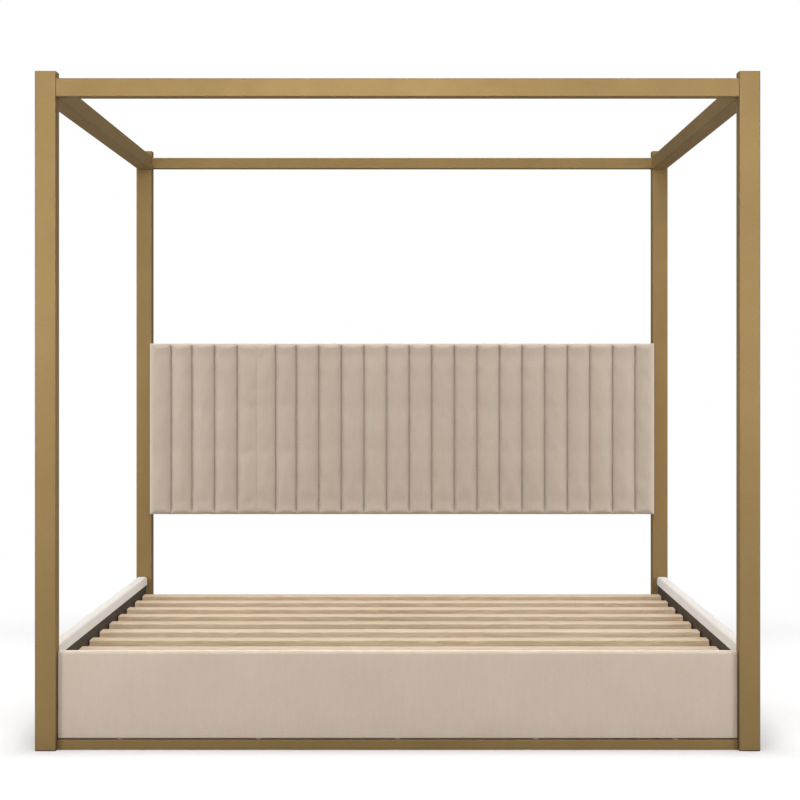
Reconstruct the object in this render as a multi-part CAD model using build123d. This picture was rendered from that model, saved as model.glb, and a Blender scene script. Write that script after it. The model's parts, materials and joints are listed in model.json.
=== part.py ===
"""Four poster canopy bed: steel posts and canopy rails, upholstered bed box, slatted base.

Millimetres, +Z up. The origin is on the floor under the middle of the bed.
-Y is the foot end, +Y the headboard end, +X the right side seen from the foot end.
"""

from build123d import *
import os

# Overall sizes
BED_WIDTH = 2080.0
BED_LENGTH = 2200.0
BED_HEIGHT = 1950.0

# Posts
POST_SIDE = 60.0
TUBE_WALL = 2.0
TUBE_EDGE_RADIUS = 2.5
GLIDE_PLATE = 3.0
GLIDE_PLUG_DEPTH = 15.0
CAP_PLATE = 2.0
CAP_PLUG_DEPTH = 12.0
PLUG_CLEARANCE = 0.3

# Canopy rails
CANOPY_SIDE = 53.0
REAR_CANOPY_SIDE = 42.0
CANOPY_DROP = 20.0
CANOPY_END_GAP = 0.5
SPIGOT_LENGTH = 32.0
SPIGOT_WALL = 3.0
SPIGOT_BASE = 4.0
RAIL_SCREW_INSET = 20.0

# Upholstered boards of the bed box
BOARD_BOTTOM = 32.5
BOARD_TOP = 283.0
BOARD_EDGE_RADIUS = 9.0
FOOTBOARD_RECESS = 20.0
FOOTBOARD_THICKNESS = 36.0
FOOTBOARD_END_GAP = 1.7
SIDE_RAIL_THICKNESS = 40.0
SIDE_RAIL_INSET = 2.0
SIDE_RAIL_END_GAP = 0.5
FOAM_FACE = 7.0
FABRIC_EDGE = 3.0
FABRIC_RETURN = 2.0
RETURN_DROP = 30.0

# Metal base rails under the boards
BASE_RAIL_SIDE = 29.0
BASE_RAIL_BOTTOM = 0.5
BASE_RAIL_WALL = 1.5
BASE_RAIL_SCREWS_PER_RAIL = 5
BASE_RAIL_SCREW_SPAN = 1600.0

# Slatted base
SLAT_COUNT = 10
SLAT_PITCH = 212.3
SLAT_WIDTH = 75.0
SLAT_THICKNESS = 20.0
SLAT_TOP = 225.0
SLAT_END_GAP = 4.0
SLAT_EDGE_RADIUS = 3.0
FIRST_SLAT_Y = -1000.0
LEDGE_WIDTH = 25.0
LEDGE_HEIGHT = 30.0
LEDGE_SCREWS = 6
LEDGE_SCREW_SPAN = 1960.0
LEDGE_SCREW_DROP = 22.0

# Centre beam, its hangers and the rear cross rail
BEAM_WIDTH = 40.0
BEAM_HEIGHT = 60.0
HANGER_PLATE = 3.0
HANGER_HALF_WIDTH = 45.0
HANGER_DEPTH = 40.0
HANGER_SIDE_HEIGHT = 45.0
HANGER_CLEARANCE = 0.3
HANGER_TOP_GAP = 2.0
HANGER_SCREW_X = 34.0
HANGER_SCREW_DROPS = (15.0, 45.0)
CROSS_RAIL_DEPTH = 30.0
CROSS_RAIL_HEIGHT = 65.0
CROSS_RAIL_FRONT = 1055.0
END_PLATE = 4.0
END_PLATE_HEIGHT = 115.0
END_PLATE_HALF_DEPTH = 25.0
END_PLATE_BOLT_DROP = 22.0
END_PLATE_BOLT_OFFSET = 14.0

# Centre legs and levelling feet
LEG_PLACES_Y = (-650.0, 0.0, 650.0)
LEG_RADIUS = 19.0
LEG_WALL = 2.0
LEG_BOTTOM = 28.0
LEG_PLATE = 4.0
LEG_PLATE_HALF_LENGTH = 32.0
LEG_PLATE_HALF_WIDTH = 18.0
LEG_SCREW_OFFSET = 26.0
LEG_INSERT_HEIGHT = 20.0
STUD_RADIUS = 5.0
STUD_CLEARANCE = 0.06
STUD_TOP = 60.0
FOOT_RADIUS = 22.0
FOOT_HEIGHT = 7.0
FOOT_EDGE_RADIUS = 2.0

# Headboard
HEADBOARD_WIDTH = 1966.0
HEADBOARD_BOTTOM = 531.0
HEADBOARD_TOP = 1196.0
HEADBOARD_THICKNESS = 57.0
HEADBOARD_CORNER = 10.0
HEADBOARD_PLY = 18.0
DUST_COVER_THICKNESS = 1.0
DUST_COVER_INSET = 12.0
HEADBOARD_BRACKET_LEG = 50.0
HEADBOARD_BRACKET_HEIGHT = 80.0
HEADBOARD_BRACKET_EDGE = 110.0
HEADBOARD_BOLT_REACH = 30.0
HEADBOARD_FRONT_RADIUS = 9.0

# Steel corner brackets of the bed box
BRACKET_PLATE = 4.0
BRACKET_BOTTOM = 55.0
BRACKET_HEIGHT = 110.0
BRACKET_SIDE_REACH = 70.0
BRACKET_FOOT_REACH = 80.0
BRACKET_BOLT_LOW = 85.0
BRACKET_BOLT_HIGH = 140.0
BRACKET_BOLT_REACH = 48.0
BRACKET_STRIP_INSET = 9.0

# Fasteners: radius of the shank, radius and height of the head
BOLT_RADIUS = 3.0
BOLT_HEAD_RADIUS = 5.5
BOLT_HEAD_HEIGHT = 4.0
BOLT_LENGTH = 16.0
NUT_HEIGHT = 5.0
SCREW_RADIUS = 2.5
SCREW_HEAD_RADIUS = 4.5
SCREW_HEAD_HEIGHT = 2.5
SCREW_HEAD_EDGE = 1.8
SCREW_LENGTH = 14.0
BASE_SCREW_LENGTH = 65.0
ACCESS_HOLE_RADIUS = 7.0
WASHER_RADIUS = 8.0
WOOD_SCREW_RADIUS = 2.2
WOOD_SCREW_HEAD_RADIUS = 4.4
WOOD_SCREW_LENGTH = 38.0
WOOD_SCREW_END_INSET = 15.0
HOLE_CLEARANCE = 0.15

# Derived places
HALF_WIDTH = BED_WIDTH / 2
HALF_LENGTH = BED_LENGTH / 2
POST_X = HALF_WIDTH - POST_SIDE / 2
POST_Y = HALF_LENGTH - POST_SIDE / 2
POST_INNER_X = HALF_WIDTH - POST_SIDE
POST_INNER_Y = HALF_LENGTH - POST_SIDE
CANOPY_TOP = BED_HEIGHT - CANOPY_DROP
CANOPY_MID_Z = CANOPY_TOP - CANOPY_SIDE / 2
CANOPY_SIDE_X = POST_INNER_X + CANOPY_SIDE / 2
FOOTBOARD_FRONT = -HALF_LENGTH + FOOTBOARD_RECESS
FOOTBOARD_BACK = FOOTBOARD_FRONT + FOOTBOARD_THICKNESS
FOOTBOARD_CORE_BACK = FOOTBOARD_BACK - FABRIC_RETURN
FOOTBOARD_HALF = POST_INNER_X - FOOTBOARD_END_GAP
RAIL_OUTER_X = HALF_WIDTH - SIDE_RAIL_INSET
RAIL_INNER_X = RAIL_OUTER_X - SIDE_RAIL_THICKNESS
RAIL_CORE_INNER_X = RAIL_INNER_X + FABRIC_RETURN
RAIL_HALF = POST_INNER_Y - SIDE_RAIL_END_GAP
BASE_RAIL_TOP = BASE_RAIL_BOTTOM + BASE_RAIL_SIDE
SLAT_BOTTOM = SLAT_TOP - SLAT_THICKNESS
SLAT_HALF = RAIL_INNER_X - SLAT_END_GAP
BEAM_BOTTOM = SLAT_BOTTOM - BEAM_HEIGHT
HEADBOARD_BACK = POST_INNER_Y
HEADBOARD_FRONT = HEADBOARD_BACK - HEADBOARD_THICKNESS
BOARD_BACK = HEADBOARD_BACK - DUST_COVER_THICKNESS
BOARD_FRONT = BOARD_BACK - HEADBOARD_PLY
SIDES = {"left": -1, "right": 1}
ENDS = {"front": -1, "rear": 1}


# ---------- shared shapes ----------

def block(x_span, y_span, z_span):
    """Box from its low and high limits along each axis."""
    size = [high - low for low, high in (x_span, y_span, z_span)]
    middle = [(high + low) / 2 for low, high in (x_span, y_span, z_span)]
    return Pos(*middle) * Box(*size)


def span(a, b):
    """A low-to-high pair, whichever way round its ends are given."""
    return (min(a, b), max(a, b))


def facing(point, normal):
    """Location at a point, its local +Z along the outward normal."""
    return Plane(origin=point, z_dir=normal).location


def rod(point, normal, radius, depth, rise=0.0):
    """Cylinder that sinks into a surface by depth and stands out of it by rise."""
    length = depth + rise
    return facing(point, normal) * Pos(0, 0, rise - length / 2) * Cylinder(radius, length)


def cut(body, tools):
    """The body with every tool taken away."""
    return body - tools if tools else body


def square_tube(side_x, side_y, length, wall, radius):
    """Square tube along local +Z from 0, with rounded outer edges."""
    outer = extrude(RectangleRounded(side_x, side_y, radius), amount=length)
    inner = extrude(Rectangle(side_x - 2 * wall, side_y - 2 * wall), amount=length)
    return outer - inner


def hex_bolt(point, normal, length=BOLT_LENGTH):
    """Hexagon-head bolt: the underside of its head rests at the point."""
    head = extrude(RegularPolygon(BOLT_HEAD_RADIUS, 6), amount=BOLT_HEAD_HEIGHT)
    shank = Pos(0, 0, -length / 2) * Cylinder(BOLT_RADIUS, length)
    return facing(point, normal) * (head + shank)


def hex_nut(point, normal):
    """Nut that sinks into the surface at the point."""
    bore = BOLT_RADIUS + HOLE_CLEARANCE / 2
    outline = RegularPolygon(BOLT_HEAD_RADIUS, 6) - Circle(bore)
    return facing(point, normal) * extrude(outline, amount=-NUT_HEIGHT)


def button_screw(point, normal, length=SCREW_LENGTH):
    """Low round-head screw: the underside of its head rests at the point."""
    head = Pos(0, 0, SCREW_HEAD_HEIGHT / 2) * Cylinder(SCREW_HEAD_RADIUS, SCREW_HEAD_HEIGHT)
    head = fillet(head.edges().group_by(Axis.Z)[-1], SCREW_HEAD_EDGE)
    shank = Pos(0, 0, -length / 2) * Cylinder(SCREW_RADIUS, length)
    return facing(point, normal) * (head + shank)


def countersunk_screw(point, normal):
    """Wood screw whose flat head lies level with the surface at the point."""
    head_depth = WOOD_SCREW_HEAD_RADIUS - WOOD_SCREW_RADIUS
    head = Cone(WOOD_SCREW_RADIUS, WOOD_SCREW_HEAD_RADIUS, head_depth)
    shank_length = WOOD_SCREW_LENGTH - head_depth
    shank = Pos(0, 0, -head_depth - shank_length / 2) * Cylinder(WOOD_SCREW_RADIUS, shank_length)
    return facing(point, normal) * (Pos(0, 0, -head_depth / 2) * head + shank)


def countersunk_hole(point, normal):
    """The hole for a wood screw, slightly larger than the screw all round."""
    head_depth = WOOD_SCREW_HEAD_RADIUS - WOOD_SCREW_RADIUS
    radius = WOOD_SCREW_RADIUS + HOLE_CLEARANCE
    head = Cone(radius, WOOD_SCREW_HEAD_RADIUS + HOLE_CLEARANCE, head_depth)
    shaft_length = WOOD_SCREW_LENGTH + 1
    shaft = Pos(0, 0, -shaft_length / 2) * Cylinder(radius, shaft_length)
    return facing(point, normal) * (Pos(0, 0, -head_depth / 2) * head + shaft)


def evenly(count, length):
    """Places spread evenly along a length, middle at zero."""
    return [length * (i / (count - 1) - 0.5) for i in range(count)]


# ---------- where the fasteners go: (point on the surface, outward normal) ----------

def cross_rail_side(end):
    """Height and depth of the canopy rail across the bed: the rear one is lighter."""
    return REAR_CANOPY_SIDE if end > 0 else CANOPY_SIDE


def canopy_bolt_places(side, end):
    """Spigot bolts of one post: on its face across the bed and on its face along the bed."""
    across = ((side * POST_INNER_X, end * POST_Y, CANOPY_MID_Z), (-side, 0, 0))
    along = ((side * CANOPY_SIDE_X, end * POST_INNER_Y, CANOPY_MID_Z), (0, -end, 0))
    return [across, along]


def bracket_post_bolts(side, end):
    """Bolts of a corner bracket into the narrow strip of post beside the side rail."""
    x = side * (RAIL_INNER_X - BRACKET_STRIP_INSET)
    return [((x, end * POST_INNER_Y, z), (0, -end, 0)) for z in (BRACKET_BOLT_LOW, BRACKET_BOLT_HIGH)]


def bracket_rail_bolts(side, end):
    """Bolts of a corner bracket into the side rail."""
    y = end * (POST_INNER_Y - BRACKET_BOLT_REACH)
    x = side * RAIL_CORE_INNER_X
    return [((x, y, z), (-side, 0, 0)) for z in (BRACKET_BOLT_LOW, BRACKET_BOLT_HIGH)]


def bracket_footboard_bolts(side):
    """Bolts of a front corner bracket into the footboard."""
    x = side * (POST_INNER_X - BRACKET_BOLT_REACH)
    return [((x, FOOTBOARD_CORE_BACK, z), (0, 1, 0)) for z in (BRACKET_BOLT_LOW, BRACKET_BOLT_HIGH)]


def cross_rail_bolts(side):
    """Bolts of a cross rail end plate into a rear post, under the tube."""
    middle = CROSS_RAIL_FRONT + CROSS_RAIL_DEPTH / 2
    z = SLAT_BOTTOM - CROSS_RAIL_HEIGHT - END_PLATE_BOLT_DROP
    offsets = (-END_PLATE_BOLT_OFFSET, END_PLATE_BOLT_OFFSET)
    return [((side * POST_INNER_X, middle + offset, z), (-side, 0, 0)) for offset in offsets]


def headboard_bracket_levels():
    """Middle heights of the upper and lower headboard brackets."""
    return (HEADBOARD_BOTTOM + HEADBOARD_BRACKET_EDGE, HEADBOARD_TOP - HEADBOARD_BRACKET_EDGE)


def headboard_post_bolts(side):
    """Bolts of the headboard brackets into a rear post."""
    y = HEADBOARD_BACK + HEADBOARD_BOLT_REACH
    return [((side * POST_INNER_X, y, z), (-side, 0, 0)) for z in headboard_bracket_levels()]


def headboard_back_bolts(side):
    """Bolts of the headboard brackets into the back of the headboard."""
    x = side * (POST_INNER_X - HEADBOARD_BOLT_REACH)
    return [((x, HEADBOARD_BACK, z), (0, 1, 0)) for z in headboard_bracket_levels()]


def slat_centres():
    """Middle of each slat along the bed, from the foot end."""
    return [FIRST_SLAT_Y + SLAT_PITCH * i for i in range(SLAT_COUNT)]


def slat_screw_places(side):
    """Screws down through the slat ends into one ledge."""
    x = side * (SLAT_HALF - WOOD_SCREW_END_INSET)
    return [((x, y, SLAT_TOP), (0, 0, 1)) for y in slat_centres()]


def ledge_screw_places(side):
    """Screws through a ledge into its side rail, between the slat screws."""
    x = side * (RAIL_CORE_INNER_X - LEDGE_WIDTH)
    z = SLAT_BOTTOM - LEDGE_SCREW_DROP
    return [((x, y, z), (-side, 0, 0)) for y in evenly(LEDGE_SCREWS, LEDGE_SCREW_SPAN)]


def base_screw_places(rail):
    """Screws up from a base rail into the board above it, at the top of the tube's lower inside."""
    if rail == "front":
        y = FOOTBOARD_FRONT + BASE_RAIL_SIDE / 2
        return [(x, y) for x in evenly(BASE_RAIL_SCREWS_PER_RAIL, BASE_RAIL_SCREW_SPAN)]
    x = SIDES[rail] * (RAIL_OUTER_X - BASE_RAIL_SIDE / 2)
    return [(x, y) for y in evenly(BASE_RAIL_SCREWS_PER_RAIL, BASE_RAIL_SCREW_SPAN)]


def hanger_screw_places(y, normal_y):
    """Screws of a beam hanger's back plate, two on each side of the beam."""
    across = (-HANGER_SCREW_X, HANGER_SCREW_X)
    return [((x, y, SLAT_BOTTOM - drop), (0, normal_y, 0)) for x in across for drop in HANGER_SCREW_DROPS]


def leg_screw_places(leg_y):
    """Screws up through a leg's top plate into the beam."""
    z = BEAM_BOTTOM - LEG_PLATE
    return [((0, leg_y + dy, z), (0, 0, -1)) for dy in (-LEG_SCREW_OFFSET, LEG_SCREW_OFFSET)]


def bolt_holes(places, depth):
    """Clearance holes for bolts at the places."""
    return [rod(point, normal, BOLT_RADIUS + HOLE_CLEARANCE, depth, 1) for point, normal in places]


def raised(places, height):
    """The same places, lifted off their surface by a plate's thickness."""
    lifted = []
    for point, normal in places:
        lifted.append((tuple(p + n * height for p, n in zip(point, normal)), normal))
    return lifted


# ---------- posts ----------

def post(side, end):
    """Square steel tube post with the bolt holes of its own corner."""
    tube_height = BED_HEIGHT - CAP_PLATE - GLIDE_PLATE
    tube = square_tube(POST_SIDE, POST_SIDE, tube_height, TUBE_WALL, TUBE_EDGE_RADIUS)
    tube = Pos(side * POST_X, end * POST_Y, GLIDE_PLATE) * tube
    places = canopy_bolt_places(side, end) + bracket_post_bolts(side, end)
    if end > 0:
        places += cross_rail_bolts(side) + headboard_post_bolts(side)
    return cut(tube, bolt_holes(places, TUBE_WALL + 1))


def post_cap(side, end):
    """Flat end cap with a plug that sits in the tube."""
    plug_side = POST_SIDE - 2 * TUBE_WALL - 2 * PLUG_CLEARANCE
    plate = extrude(RectangleRounded(POST_SIDE, POST_SIDE, TUBE_EDGE_RADIUS), amount=CAP_PLATE)
    plug = extrude(Rectangle(plug_side, plug_side), amount=-CAP_PLUG_DEPTH)
    return Pos(side * POST_X, end * POST_Y, BED_HEIGHT - CAP_PLATE) * (plate + plug)


def post_glide(side, end):
    """Moulded glide that closes the foot of a post."""
    plug_side = POST_SIDE - 2 * TUBE_WALL - 2 * PLUG_CLEARANCE
    plate = extrude(RectangleRounded(POST_SIDE - 1, POST_SIDE - 1, TUBE_EDGE_RADIUS), amount=GLIDE_PLATE)
    plug = Pos(0, 0, GLIDE_PLATE) * extrude(Rectangle(plug_side, plug_side), amount=GLIDE_PLUG_DEPTH)
    return Pos(side * POST_X, end * POST_Y, 0) * (plate + plug)


# ---------- canopy ----------

def canopy_screw_places(side, end):
    """Screws down into the two spigots of one post."""
    across_top = CANOPY_MID_Z + cross_rail_side(end) / 2
    across = ((side * (POST_INNER_X - RAIL_SCREW_INSET), end * POST_Y, across_top), (0, 0, 1))
    along = ((side * CANOPY_SIDE_X, end * (POST_INNER_Y - RAIL_SCREW_INSET), CANOPY_TOP), (0, 0, 1))
    return [across, along]


def canopy_cross_rail(end):
    """Canopy rail across the bed, between two posts."""
    length = 2 * (POST_INNER_X - CANOPY_END_GAP)
    tube = square_tube(cross_rail_side(end), cross_rail_side(end), length, TUBE_WALL, TUBE_EDGE_RADIUS)
    tube = Pos(-length / 2, end * POST_Y, CANOPY_MID_Z) * Rot(0, 90, 0) * tube
    places = [canopy_screw_places(side, end)[0] for side in SIDES.values()]
    return cut(tube, [rod(p, n, SCREW_RADIUS + HOLE_CLEARANCE, TUBE_WALL + 1, 1) for p, n in places])


def canopy_side_rail(side):
    """Canopy rail along the bed, level with the inner faces of its posts."""
    length = 2 * (POST_INNER_Y - CANOPY_END_GAP)
    tube = square_tube(CANOPY_SIDE, CANOPY_SIDE, length, TUBE_WALL, TUBE_EDGE_RADIUS)
    tube = Pos(side * CANOPY_SIDE_X, length / 2, CANOPY_MID_Z) * Rot(90, 0, 0) * tube
    places = [canopy_screw_places(side, end)[1] for end in ENDS.values()]
    return cut(tube, [rod(p, n, SCREW_RADIUS + HOLE_CLEARANCE, TUBE_WALL + 1, 1) for p, n in places])


def canopy_spigot(place, rail_side):
    """Open square socket bolted to a post, over which a rail's end slides."""
    side = rail_side - 2 * TUBE_WALL - 2 * PLUG_CLEARANCE
    shell = extrude(Rectangle(side, side), amount=SPIGOT_LENGTH)
    hollow = Rectangle(side - 2 * SPIGOT_WALL, side - 2 * SPIGOT_WALL)
    shell -= Pos(0, 0, SPIGOT_BASE) * extrude(hollow, amount=SPIGOT_LENGTH)
    shell -= Cylinder(BOLT_RADIUS + HOLE_CLEARANCE, 4 * SPIGOT_BASE)
    return facing(*place) * shell


def canopy_spigots():
    """The eight spigots, each drilled for its rail screw."""
    spigots = []
    for side in SIDES.values():
        for end in ENDS.values():
            rail_sides = (cross_rail_side(end), CANOPY_SIDE)
            screws = canopy_screw_places(side, end)
            for place, screw, rail_side in zip(canopy_bolt_places(side, end), screws, rail_sides):
                drill = rod(*screw, SCREW_RADIUS + HOLE_CLEARANCE / 2, TUBE_WALL + 3 * SPIGOT_WALL)
                spigots.append(canopy_spigot(place, rail_side) - drill)
    return spigots


def canopy_bolts():
    """Bolts inside the spigots, with their nuts inside the posts."""
    pieces = []
    for side in SIDES.values():
        for end in ENDS.values():
            for place in canopy_bolt_places(side, end):
                pieces.append(hex_bolt(*raised([place], SPIGOT_BASE)[0]))
                pieces.append(hex_nut(*raised([place], -TUBE_WALL)[0]))
    return pieces


def canopy_screws():
    """Screws that fix the rails to the spigots, on top where they are out of sight."""
    length = TUBE_WALL + 2 * SPIGOT_WALL
    corners = [(side, end) for side in SIDES.values() for end in ENDS.values()]
    return [button_screw(*place, length) for corner in corners for place in canopy_screw_places(*corner)]


# ---------- footboard and side rails ----------

def base_screw_holes(rail, radius):
    """Drilling for the screws that come up into a board."""
    depth = BASE_SCREW_LENGTH + 1
    return [rod((x, y, BASE_RAIL_TOP), (0, 0, -1), radius, depth) for x, y in base_screw_places(rail)]


def footboard_core():
    """Wooden board inside the footboard."""
    half = FOOTBOARD_HALF - FABRIC_EDGE
    board = block((-half, half), (FOOTBOARD_FRONT + FOAM_FACE, FOOTBOARD_CORE_BACK),
                  (BOARD_BOTTOM + FABRIC_RETURN, BOARD_TOP - FOAM_FACE))
    holes = base_screw_holes("front", SCREW_RADIUS + HOLE_CLEARANCE)
    for side in SIDES.values():
        holes += bolt_holes(bracket_footboard_bolts(side), BOLT_LENGTH)
    for point, normal in hanger_screw_places(FOOTBOARD_CORE_BACK, 1):
        holes.append(rod(point, normal, SCREW_RADIUS + HOLE_CLEARANCE, SCREW_LENGTH, 1))
    return cut(board, holes)


def footboard_cover():
    """Foam and fabric over the footboard: front, top, ends and a short return inside."""
    half = FOOTBOARD_HALF
    cover = block((-half, half), (FOOTBOARD_FRONT, FOOTBOARD_BACK), (BOARD_BOTTOM, BOARD_TOP))
    top_edges = cover.edges().filter_by(Axis.X).group_by(Axis.Z)[-1]
    cover = fillet(top_edges, BOARD_EDGE_RADIUS)
    inner = FOOTBOARD_HALF - FABRIC_EDGE
    cover -= block((-inner, inner), (FOOTBOARD_FRONT + FOAM_FACE, FOOTBOARD_CORE_BACK),
                   (BOARD_BOTTOM + FABRIC_RETURN, BOARD_TOP - FOAM_FACE))
    cover -= block((-half - 1, half + 1), (FOOTBOARD_CORE_BACK, FOOTBOARD_BACK + 1),
                   (BOARD_BOTTOM - 1, BOARD_TOP - RETURN_DROP))
    return cut(cover, base_screw_holes("front", SCREW_RADIUS + HOLE_CLEARANCE))


def side_rail_core(name):
    """Wooden board inside a side rail; its bare inner face shows above the slats."""
    side = SIDES[name]
    half = RAIL_HALF - FABRIC_EDGE
    board = block(span(side * RAIL_CORE_INNER_X, side * (RAIL_OUTER_X - FOAM_FACE)), (-half, half),
                  (BOARD_BOTTOM + FABRIC_RETURN, BOARD_TOP - FOAM_FACE))
    holes = base_screw_holes(name, SCREW_RADIUS + HOLE_CLEARANCE)
    for end in ENDS.values():
        holes += bolt_holes(bracket_rail_bolts(side, end), BOLT_LENGTH)
    for point, normal in ledge_screw_places(side):
        holes.append(countersunk_hole(point, normal))
    return cut(board, holes)


def side_rail_cover(name):
    """Foam and fabric over a side rail: outside, top, ends and a short return inside."""
    side = SIDES[name]
    cover = block(span(side * RAIL_INNER_X, side * RAIL_OUTER_X), (-RAIL_HALF, RAIL_HALF),
                  (BOARD_BOTTOM, BOARD_TOP))
    top_edges = cover.edges().filter_by(Axis.Y).group_by(Axis.Z)[-1]
    cover = fillet(top_edges, BOARD_EDGE_RADIUS)
    inner = RAIL_HALF - FABRIC_EDGE
    cover -= block(span(side * RAIL_CORE_INNER_X, side * (RAIL_OUTER_X - FOAM_FACE)), (-inner, inner),
                   (BOARD_BOTTOM + FABRIC_RETURN, BOARD_TOP - FOAM_FACE))
    cover -= block(span(side * (RAIL_INNER_X - 1), side * RAIL_CORE_INNER_X),
                   (-RAIL_HALF - 1, RAIL_HALF + 1), (BOARD_BOTTOM - 1, BOARD_TOP - RETURN_DROP))
    return cut(cover, base_screw_holes(name, SCREW_RADIUS + HOLE_CLEARANCE))


def base_rail(name):
    """Square steel tube just off the floor, under one of the three boards."""
    along_x = name == "front"
    half = FOOTBOARD_HALF if along_x else RAIL_HALF
    tube = square_tube(BASE_RAIL_SIDE, BASE_RAIL_SIDE, 2 * half, BASE_RAIL_WALL, BASE_RAIL_WALL)
    middle_z = BASE_RAIL_BOTTOM + BASE_RAIL_SIDE / 2
    x, y = base_screw_places(name)[0]
    if along_x:
        tube = Pos(-half, y, middle_z) * Rot(0, 90, 0) * tube
    else:
        tube = Pos(x, half, middle_z) * Rot(90, 0, 0) * tube
    holes = []
    for x, y in base_screw_places(name):
        top = (x, y, BASE_RAIL_TOP)
        bottom = (x, y, BASE_RAIL_BOTTOM)
        holes.append(rod(top, (0, 0, 1), SCREW_RADIUS + HOLE_CLEARANCE, BASE_RAIL_SIDE / 2, 1))
        holes.append(rod(bottom, (0, 0, -1), ACCESS_HOLE_RADIUS, BASE_RAIL_SIDE / 2, 1))
    return cut(tube, holes)


def base_rail_screws():
    """Long screws and spacer washers between the base rails and the boards."""
    pieces = []
    seat = BASE_RAIL_TOP - BASE_RAIL_WALL
    ring = Circle(WASHER_RADIUS) - Circle(SCREW_RADIUS + HOLE_CLEARANCE / 2)
    for name in ("front", "left", "right"):
        for x, y in base_screw_places(name):
            pieces.append(button_screw((x, y, seat), (0, 0, -1), BASE_SCREW_LENGTH))
            pieces.append(Pos(x, y, BASE_RAIL_TOP) * extrude(ring, amount=BOARD_BOTTOM - BASE_RAIL_TOP))
    return pieces


def corner_bracket(side, end):
    """Folded plate in a corner of the bed box: side rail, post and, at the front, footboard."""
    z_span = (BRACKET_BOTTOM, BRACKET_BOTTOM + BRACKET_HEIGHT)
    rail_face = side * RAIL_CORE_INNER_X
    post_face = end * POST_INNER_Y
    strip_end = side * (POST_INNER_X - BRACKET_PLATE)
    plate = block(span(rail_face, rail_face - side * BRACKET_PLATE),
                  span(post_face, post_face - end * BRACKET_SIDE_REACH), z_span)
    plate += block(span(rail_face, strip_end), span(post_face, post_face - end * BRACKET_PLATE), z_span)
    places = raised(bracket_rail_bolts(side, end), BRACKET_PLATE)
    places += raised(bracket_post_bolts(side, end), BRACKET_PLATE)
    if end < 0:
        post_side = side * POST_INNER_X
        plate += block(span(post_side, strip_end),
                       span(FOOTBOARD_CORE_BACK, post_face + BRACKET_PLATE), z_span)
        plate += block(span(post_side, post_side - side * BRACKET_FOOT_REACH),
                       span(FOOTBOARD_CORE_BACK, FOOTBOARD_CORE_BACK + BRACKET_PLATE), z_span)
        places += raised(bracket_footboard_bolts(side), BRACKET_PLATE)
    return cut(plate, bolt_holes(places, BRACKET_PLATE + 1))


def corner_brackets():
    """The four corner brackets."""
    return [corner_bracket(side, end) for side in SIDES.values() for end in ENDS.values()]


def bed_box_bolts():
    """Bolts of the corner brackets and of the rear cross rail, with nuts where they meet a tube."""
    pieces = []
    for side in SIDES.values():
        into_posts = [place for end in ENDS.values() for place in bracket_post_bolts(side, end)]
        into_posts += cross_rail_bolts(side)
        into_wood = [place for end in ENDS.values() for place in bracket_rail_bolts(side, end)]
        into_wood += bracket_footboard_bolts(side)
        for place in into_posts:
            pieces.append(hex_bolt(*raised([place], BRACKET_PLATE)[0]))
            pieces.append(hex_nut(*raised([place], -TUBE_WALL)[0]))
        pieces += [hex_bolt(*place) for place in raised(into_wood, BRACKET_PLATE)]
    return pieces


# ---------- slatted base ----------

def slat(number):
    """One pine slat across the bed, drilled at both ends."""
    y = slat_centres()[number]
    board = block((-SLAT_HALF, SLAT_HALF), (y - SLAT_WIDTH / 2, y + SLAT_WIDTH / 2), (SLAT_BOTTOM, SLAT_TOP))
    board = fillet(board.edges().filter_by(Axis.X), SLAT_EDGE_RADIUS)
    places = [slat_screw_places(side)[number] for side in SIDES.values()]
    return cut(board, [countersunk_hole(*place) for place in places])


def slat_ledge(side):
    """Wooden ledge under the slat ends, screwed to the inside of a side rail."""
    half = RAIL_HALF - FABRIC_EDGE
    ledge = block(span(side * RAIL_CORE_INNER_X, side * (RAIL_CORE_INNER_X - LEDGE_WIDTH)), (-half, half),
                  (SLAT_BOTTOM - LEDGE_HEIGHT, SLAT_BOTTOM))
    holes = [countersunk_hole(*place) for place in slat_screw_places(side) + ledge_screw_places(side)]
    return cut(ledge, holes)


def wood_screws():
    """Identical countersunk screws: two in each slat, and a row in each ledge."""
    pieces = []
    for side in SIDES.values():
        pieces += [countersunk_screw(*place) for place in slat_screw_places(side) + ledge_screw_places(side)]
    return pieces


def centre_beam():
    """Steel tube along the middle, under the slats."""
    start = FOOTBOARD_CORE_BACK + HANGER_PLATE + HANGER_CLEARANCE
    stop = CROSS_RAIL_FRONT - HANGER_PLATE - HANGER_CLEARANCE
    tube = square_tube(BEAM_WIDTH, BEAM_HEIGHT, stop - start, TUBE_WALL, TUBE_EDGE_RADIUS)
    tube = Pos(0, stop, SLAT_BOTTOM - BEAM_HEIGHT / 2) * Rot(90, 0, 0) * tube
    holes = []
    for leg_y in LEG_PLACES_Y:
        for point, normal in leg_screw_places(leg_y):
            holes.append(rod(point, normal, SCREW_RADIUS + HOLE_CLEARANCE, LEG_PLATE + TUBE_WALL + 1))
    return cut(tube, holes)


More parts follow.
